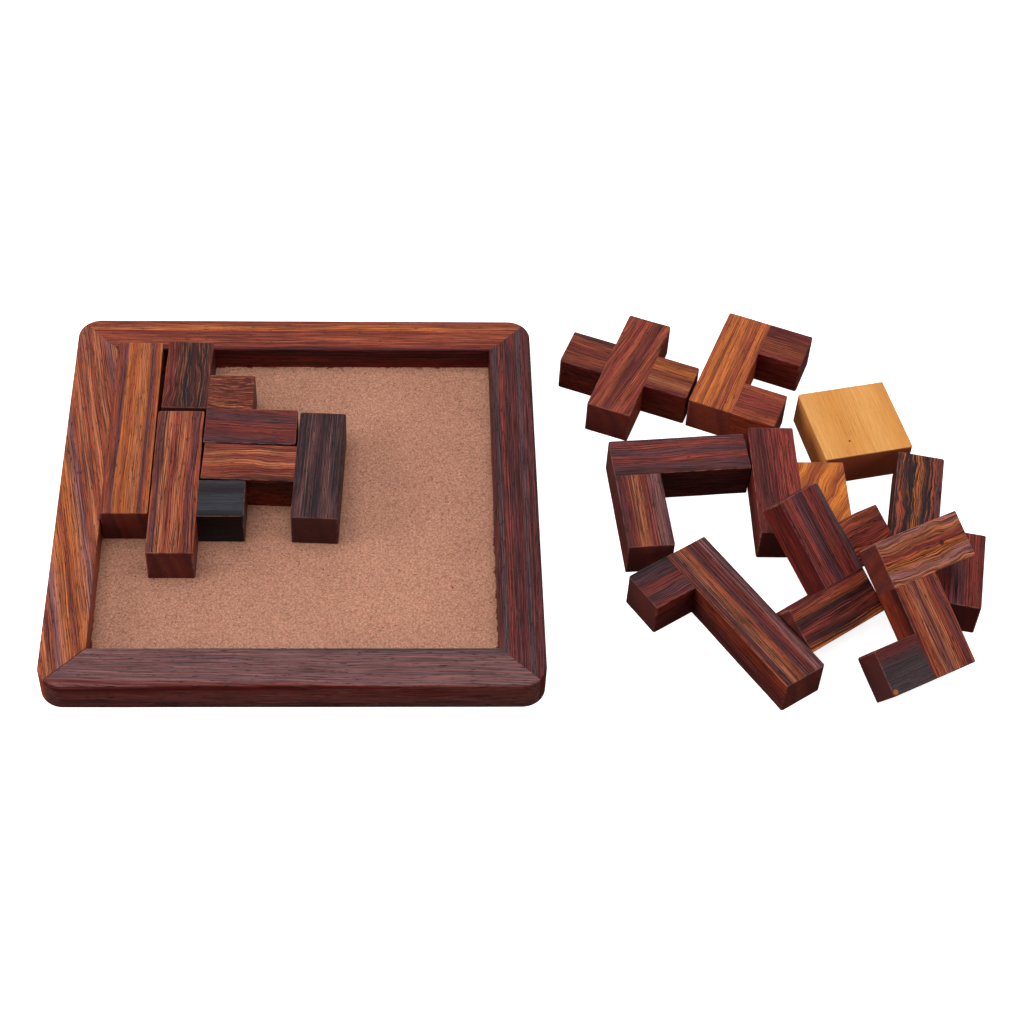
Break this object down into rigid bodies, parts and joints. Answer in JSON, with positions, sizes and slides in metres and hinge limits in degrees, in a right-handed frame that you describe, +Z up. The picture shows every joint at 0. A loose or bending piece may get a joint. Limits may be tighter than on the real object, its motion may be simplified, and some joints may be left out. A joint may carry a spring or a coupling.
{
  "type": "wooden pentomino tray puzzle",
  "caption": "Square wooden tray with a hardboard floor and flat glued polyomino pieces that pack into it, some in the tray and some loose beside it.",
  "frame": {"origin": "centre of the tray's underside, on the surface that it rests on", "axes": "+Z up, +X from the tray towards the loose pieces, +Y towards the back rail"},
  "size_m": [0.3156, 0.1721, 0.0371],
  "materials": {
    "orange_rosewood": "satin",
    "red_rosewood": "satin",
    "purple_rosewood": "satin",
    "dark_striped_rosewood": "satin",
    "yellow_rosewood": "satin",
    "ebony": "satin",
    "boxwood": "satin",
    "hardboard": "matte"
  },
  "bodies": {
    "tray": {"front_rail": "purple_rosewood", "right_rail": "purple_rosewood", "back_rail": "orange_rosewood", "left_rail": "orange_rosewood", "tray_floor": "hardboard"},
    "i_piece": {"i_bar": "orange_rosewood"},
    "y_piece": {"y_bar": "orange_rosewood", "y_stub": "ebony"},
    "w_piece": {"w_upper_bar": "dark_striped_rosewood", "w_middle_block": "red_rosewood", "w_lower_bar": "red_rosewood"},
    "t_piece": {"t_stem": "orange_rosewood", "t_crossbar": "dark_striped_rosewood"},
    "x_piece": {"x_bar": "red_rosewood", "x_left_arm": "purple_rosewood", "x_right_arm": "orange_rosewood"},
    "u_piece": {"u_back_bar": "orange_rosewood", "u_far_leg": "red_rosewood", "u_near_leg": "red_rosewood"},
    "v_piece": {"v_long_arm": "purple_rosewood", "v_short_arm": "purple_rosewood"},
    "l_piece": {"l_bar": "red_rosewood", "l_foot": "purple_rosewood"},
    "square_piece": {"square_block": "boxwood"},
    "p_piece": {"p_long_bar": "purple_rosewood", "p_side_bar": "yellow_rosewood"},
    "n_piece": {"n_long_bar": "dark_striped_rosewood", "n_short_bar": "purple_rosewood"},
    "f_piece": {"f_spine": "purple_rosewood", "f_crossbar": "purple_rosewood", "f_side_block": "red_rosewood"},
    "z_piece": {"z_top_bar": "orange_rosewood", "z_stem": "red_rosewood", "z_end_block": "ebony"}
  },
  "joints": [
    {"name": "i_lift", "type": "slide", "parent": "tray", "child": "i_piece", "axis": [0, 0, 1], "range_m": [0, 0.03]},
    {"name": "y_lift", "type": "slide", "parent": "tray", "child": "y_piece", "axis": [0, 0, 1], "range_m": [0, 0.03]},
    {"name": "w_lift", "type": "slide", "parent": "tray", "child": "w_piece", "axis": [0, 0, 1], "range_m": [0, 0.03]},
    {"name": "t_lift", "type": "slide", "parent": "tray", "child": "t_piece", "axis": [0, 0, 1], "range_m": [0, 0.03]},
    {"name": "x_lift", "type": "slide", "parent": "tray", "child": "x_piece", "axis": [0, 0, 1], "range_m": [0, 0.03]},
    {"name": "u_lift", "type": "slide", "parent": "tray", "child": "u_piece", "axis": [0, 0, 1], "range_m": [0, 0.03]},
    {"name": "v_lift", "type": "slide", "parent": "tray", "child": "v_piece", "axis": [0, 0, 1], "range_m": [0, 0.03]},
    {"name": "l_lift", "type": "slide", "parent": "tray", "child": "l_piece", "axis": [0, 0, 1], "range_m": [0, 0.03]},
    {"name": "square_lift", "type": "slide", "parent": "tray", "child": "square_piece", "axis": [0, 0, 1], "range_m": [0, 0.03]},
    {"name": "p_lift", "type": "slide", "parent": "tray", "child": "p_piece", "axis": [0, 0, 1], "range_m": [0, 0.03]},
    {"name": "f_lift", "type": "slide", "parent": "p_piece", "child": "f_piece", "axis": [0, 0, 1], "range_m": [0, 0.03]},
    {"name": "z_lift", "type": "slide", "parent": "f_piece", "child": "z_piece", "axis": [0, 0, 1], "range_m": [0, 0.03]},
    {"name": "n_slide", "type": "slide", "parent": "tray", "child": "n_piece", "axis": [0.9767, -0.2147, 0], "range_m": [0, 0.04]}
  ]
}
